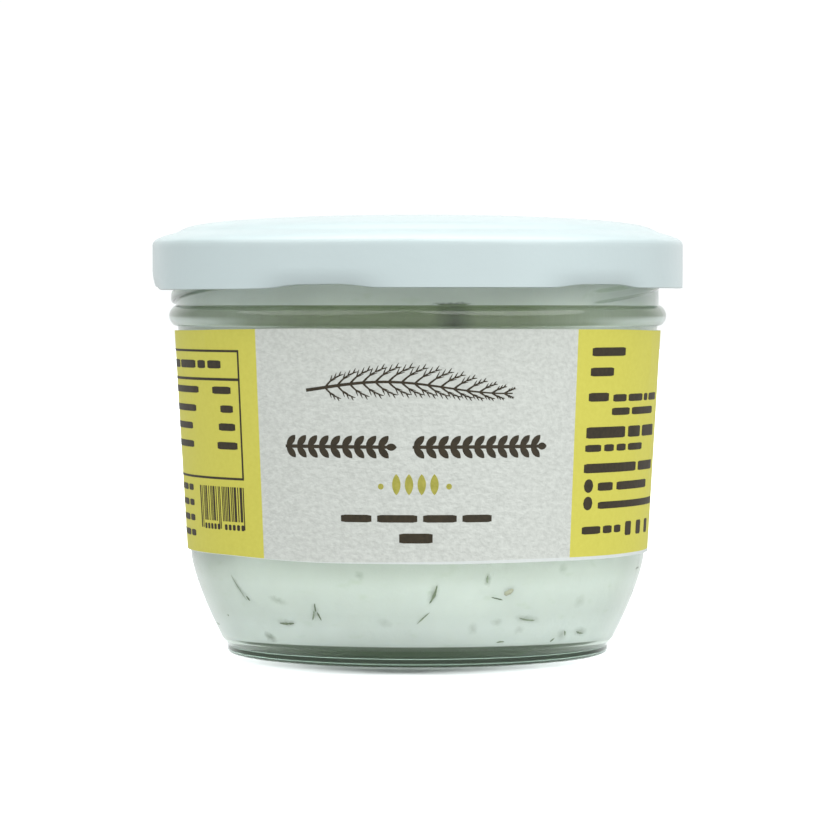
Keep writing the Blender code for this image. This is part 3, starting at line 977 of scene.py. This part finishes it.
def draw_sprig(ink, left, right, height, spread):
    """A level sprig of feathery herb, its fronds fanning out of a curved stem."""
    def stem(share):
        return left + (right - left) * share, height + 0.9 * math.sin(share * math.pi * 1.7 - 0.5)

    path = [stem(share) for share in steps(0.0, 1.0, 40)]
    ink.ribbon(path, [0.26 - 0.16 * index / 39 for index in range(40)])
    fronds = 15
    for index in range(fronds):
        share = 0.10 + 0.86 * index / (fronds - 1)
        across, base = stem(share)
        reach = spread * math.sin(math.pi * (0.18 + 0.74 * share)) ** 0.8
        for sign in (1, -1):
            lean = sign * math.radians(58 - 22 * share)
            length = reach * (1.0 if sign > 0 else 0.85)
            line = []
            for along in steps(0.0, 1.0, 9):
                curl = lean * (1 - 0.35 * along)
                line.append((across + length * along * math.cos(curl), base + length * along * math.sin(curl)))
            ink.ribbon(line, [0.17 * (1 - 0.75 * along) for along in steps(0.0, 1.0, 9)])
            for twig in (0.4, 0.62, 0.84):
                at = line[round(twig * 8)]
                for turn in (24, -24):
                    heading = lean * (1 - 0.35 * twig) + math.radians(turn)
                    far = length * 0.34 * (1.15 - twig * 0.6)
                    tip = (at[0] + far * math.cos(heading), at[1] + far * math.sin(heading))
                    middle = ((at[0] + tip[0]) / 2, (at[1] + tip[1]) / 2)
                    ink.ribbon([at, middle, tip], [0.10, 0.09, 0.03])


def draw_leaf_band(ink, left, right, height, tall, pairs):
    """A level stem with pairs of forward-leaning leaves, and a leaf at its tip."""
    pitch = (right - left) / (pairs + 0.6)
    ink.bar(left, right - pitch * 0.7, height, tall * 0.13, 0.05)
    for index in range(pairs):
        foot = left + pitch * (index + 0.12)
        for sign in (1, -1):
            length = tall * 0.56
            lean = sign * LEAF_LEAN
            across = foot + length / 2 * math.cos(math.radians(lean))
            middle = height + length / 2 * math.sin(math.radians(lean))
            ink.leaf(across, middle, length, tall * 0.27, lean, 0.8)
    ink.leaf(right - pitch * 0.45, height, pitch * 0.9, tall * 0.27, 0, 0.8)


def print_front(dark, olive):
    """The cream panel: a sprig, a band of leaves, a small olive row and two lines of words."""
    draw_sprig(dark, -17.4, 14.6, 43.2, 4.3)
    draw_leaf_band(dark, -21.3, -3.2, 34.2, 4.1, 9)
    draw_leaf_band(dark, -0.8, 20.7, 34.2, 4.1, 11)
    olive.disc(-5.7, 28.2, 0.9)
    olive.disc(4.8, 28.2, 0.9)
    for index in range(4):
        olive.leaf(-3.3 + 1.95 * index, 28.5, 3.2, 1.3, 90, 0.8)
    dark.words(-12.1, 11.6, 23.3, 1.15, [4.4, 5.6, 4.7, 4.2])
    dark.words(-2.9, 2.3, 20.3, 1.5, [1.0], 0.5)


def print_left(dark):
    """A ruled table of short lines and a block of stripes."""
    left, right, top, bottom = -60.0, -30.3, 48.6, 28.8
    dark.bar(left, right + 0.17, top, 0.36, 0.0)
    dark.bar(left, right + 0.17, bottom, 0.36, 0.0)
    dark.upright(right, bottom, top, 0.36)
    dark.upright(left, bottom, top, 0.36)
    dark.bar(left + 1.2, right, 44.2, 0.42, 0.0)
    dark.words(-57.0, -34.6, 46.5, 1.25, [5.4, 6.4, 2.2, 3.2], 0.8)
    for height, value, name_end in ((42.5, 4.9, -41.8), (39.6, 3.2, -43.0), (36.8, 4.2, -45.0), (33.9, 5.2, -45.0)):
        edge = -33.1 + 0.16 * (42.9 - height) / 1.3
        dark.bar(edge - value + 0.7, edge + 0.7, height, 1.15)
        dark.bar(-57.5, name_end, height, 1.05)
    draw = random.Random(5)
    start, end = -43.4, -30.1
    across = start
    while across < end:
        wide = draw.choice([0.22, 0.22, 0.4, 0.55])
        outermost = across - start < 0.8 or end - across < 0.8 or abs(across - (start + end) / 2) < 0.4
        dark.upright(across + wide / 2, 20.9 if outermost else 22.1, 27.5, wide)
        across += wide + draw.choice([0.2, 0.2, 0.34, 0.48])
    for index in range(12):
        if index not in (0, 6):
            dark.bar(start + 0.3 + 1.08 * index, start + 1.0 + 1.08 * index, 21.2, 0.9, 0.1)
    for height in (27.0, 24.6, 22.2, 19.8):
        dark.words(-58.0, -46.6, height, 1.0, [3.0, 4.0, 2.4], 0.7)


def print_right(dark):
    """Lines of words beside two discs and a row of rounded squares."""
    dark.words(29.1, 37.4, 48.5, 1.35, [1.0])
    dark.words(28.9, 34.4, 45.4, 1.35, [1.0])
    dark.words(28.7, 33.4, 41.5, 1.35, [1.0])
    dark.words(34.6, 52.6, 41.3, 1.15, [2.2, 3.0, 1.0, 3.0], 0.7)
    dark.words(34.4, 50.0, 39.2, 1.15, [2.4, 4.4], 0.8)
    dark.words(28.5, 51.6, 36.0, 1.75, [5.4, 2.4, 3.6], 1.0)
    dark.words(28.4, 45.2, 33.6, 1.1, [1.6, 1.1, 1.2, 2.4], 0.8)
    dark.words(28.3, 52.2, 30.5, 1.45, [6.4, 3.6], 1.0)
    dark.disc(29.5, 27.8, 2.1)
    dark.words(31.7, 48.6, 27.6, 1.3, [1.5, 4.6], 1.1)
    dark.disc(29.5, 25.1, 2.1)
    dark.words(31.9, 54.8, 24.7, 1.1, [1.0])
    dark.words(28.4, 38.6, 20.9, 1.2, [2.2, 1.2, 1.0], 0.7)
    for across in (40.2, 44.6, 49.2):
        dark.square(across, 20.8, 2.2)


def print_back(dark):
    """Paragraphs of words on the yellow panel behind."""
    draw = random.Random(9)
    for left, right in ((64.0, 88.0), (92.0, 112.0), (-88.0, -66.0), (-112.0, -93.0)):
        height = 47.5
        while height > 21:
            widths = [draw.uniform(1.4, 4.6) for _ in range(draw.randint(3, 5))]
            short = draw.choice([0, 0, 1.5, 4.0])
            dark.words(left, right - short, height, 1.05, widths, 0.8)
            height -= draw.choice([2.2, 2.2, 2.2, 4.2])


def make_prints():
    """All the print, in two inks."""
    dark, olive = Print(), Print()
    print_front(dark, olive)
    print_left(dark)
    print_right(dark)
    print_back(dark)
    return [
        dark.piece("print_dark", ink_material("ink_dark", srgb(44, 36, 18), srgb(56, 46, 26))),
        olive.piece("print_olive", ink_material("ink_olive", srgb(160, 156, 62), srgb(176, 170, 76))),
    ]


# Stage, lights and camera

def floor_material():
    """Pale paper, almost plain."""
    material, tree, shader = new_material("pale_floor")
    grain = object_noise(tree, 12, detail=2.0)
    colour = ramp(tree, grain.outputs["Fac"], [(0.3, srgb(179, 182, 182)), (0.7, srgb(182, 185, 185))])
    tree.links.new(colour.outputs["Color"], shader.inputs["Base Color"])
    shader.inputs["Roughness"].default_value = 0.7
    shader.inputs["Specular IOR Level"].default_value = 0.2
    return material


def make_floor():
    """A plain pale floor in two pieces, a disc under the jar and the rest of it round the disc.

    The light that comes up at the jar from the outer piece is the room's lower half, which is even.
    """
    material = floor_material()
    count, size, level = 96, 4000.0, -0.3
    inner = [around(SHADED_FLOOR_RADIUS, level, step * math.tau / count) for step in range(count)]
    outer = [around(size, level, step * math.tau / count) for step in range(count)]
    under = new_piece("floor_under", inner, [list(range(count))], [material])
    under.visible_diffuse = False
    ring = [
        [step, step + count, (step + 1) % count + count, (step + 1) % count] for step in range(count)
    ]
    wide = new_piece("floor_round", inner + outer, ring, [material])
    wide.visible_diffuse = False
    wide.visible_glossy = False
    wide.visible_shadow = False
    return [under, wide]


def soft_sun(name, past_front, up, strength, width):
    """Even light from far off, as soft as a wide window."""
    lamp = bpy.data.lights.new(name, "SUN")
    lamp.energy = strength
    lamp.angle = math.radians(width)
    lamp.color = (0.98, 1.0, 1.0)
    across, rise = math.radians(past_front), math.radians(up)
    level = math.cos(rise)
    towards = Vector((level * math.sin(across), -level * math.cos(across), math.sin(rise)))
    thing = bpy.data.objects.new(name, lamp)
    thing.rotation_euler = towards.to_track_quat("Z", "Y").to_euler()
    bpy.context.collection.objects.link(thing)
    return thing


def gathered(name, pieces):
    """A collection of pieces that a lamp lights, or that stand in its way."""
    group = bpy.data.collections.new(name)
    for piece in pieces:
        group.objects.link(piece)
    return group


def make_lights(floors, filling, lid, rest):
    """Windows for the jar, lamps for the table, and the glow that the table throws up at the cheese.

    Glass bends light in past the label's edges, so the label shades nothing from the windows.
    """
    in_the_way = gathered("in_the_way", filling + [lid])
    lit_jar = gathered("lit_by_windows", filling + [lid] + rest)
    for window in WINDOWS:
        linking = soft_sun(*window).light_linking
        linking.receiver_collection = lit_jar
        linking.blocker_collection = in_the_way
    glow = soft_sun(*TABLE_GLOW).light_linking
    glow.receiver_collection = gathered("lit_by_glow", filling)
    glow.blocker_collection = in_the_way
    lit_floor = gathered("lit_by_table_lamps", floors)
    for lamp in TABLE_LAMPS:
        soft_sun(*lamp).light_linking.receiver_collection = lit_floor


def make_world():
    """A pale room: dim above, brighter below, and brightest low behind the object."""
    world = bpy.data.worlds.new("pale_room")
    world.use_nodes = True
    tree = world.node_tree
    background = tree.nodes["Background"]
    place = add_node(tree, "ShaderNodeTexCoord")
    split = add_node(tree, "ShaderNodeSeparateXYZ")
    tree.links.new(place.outputs["Generated"], split.inputs["Vector"])

    def blend(axis, start, end, low, high):
        """A smooth change from low to high as one axis runs from start to end."""
        node = add_node(tree, "ShaderNodeMapRange", interpolation_type="SMOOTHSTEP",
                        From_Min=start, From_Max=end, To_Min=low, To_Max=high)
        tree.links.new(split.outputs[axis], node.inputs["Value"])
        return node.outputs["Result"]

    def mixed(share, first, second):
        """Between the first and second value by a share; each value may be a number or a socket."""
        node = add_node(tree, "ShaderNodeMix", data_type="FLOAT")
        tree.links.new(share, node.inputs["Factor"])
        for socket, value in (("A", first), ("B", second)):
            if isinstance(value, float):
                node.inputs[socket].default_value = value
            else:
                tree.links.new(value, node.inputs[socket])
        return node.outputs["Result"]

    behind = add_node(tree, "ShaderNodeMath", operation="MULTIPLY")
    tree.links.new(blend("Y", 0.6, 0.9, 0.0, 1.0), behind.inputs[0])
    tree.links.new(blend("Z", 0.3, 0.55, 1.0, 0.0), behind.inputs[1])
    room = mixed(behind.outputs["Value"], blend("Z", -0.06, 0.06, ROOM_BELOW, ROOM_ABOVE), ROOM_BEHIND)
    path = add_node(tree, "ShaderNodeLightPath")
    tree.links.new(mixed(path.outputs["Is Camera Ray"], room, BACKDROP), background.inputs["Strength"])
    background.inputs["Color"].default_value = (0.98, 1.0, 1.0, 1)
    bpy.context.scene.world = world


def make_camera():
    """The photograph's view."""
    camera = bpy.data.cameras.new("view")
    camera.lens = CAMERA_LENS
    camera.sensor_width = 36.0
    camera.clip_start = 0.01
    camera.clip_end = 50.0
    thing = bpy.data.objects.new("view", camera)
    thing.location = CAMERA_PLACE
    thing.rotation_euler = (math.radians(90 - CAMERA_PITCH), 0.0, 0.0)
    bpy.context.collection.objects.link(thing)
    bpy.context.scene.camera = thing


def main():
    glass = make_glass(glass_material())
    cheese = make_cheese(cheese_material())
    herbs = make_herbs()
    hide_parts("cheese")
    for herb in herbs:
        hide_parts("cheese")
    lid = make_lid(lid_material())
    cream = paper_material("cream_paper", srgb(200, 203, 197), srgb(214, 217, 211), 0.14, 0.0002)
    yellow = paper_material("yellow_paper", srgb(209, 202, 84), srgb(216, 210, 92), 0.3, 0.00003)
    white = paper_material("bare_paper", srgb(214, 219, 217), srgb(223, 227, 225), 0.3, 0.00003)
    label = make_label([cream, yellow, white])
    prints = make_prints()
    make_lights(make_floor(), [cheese] + herbs, lid, [glass, label] + prints)
    make_world()
    make_camera()
    bpy.context.scene.view_settings.view_transform = "Standard"


main()
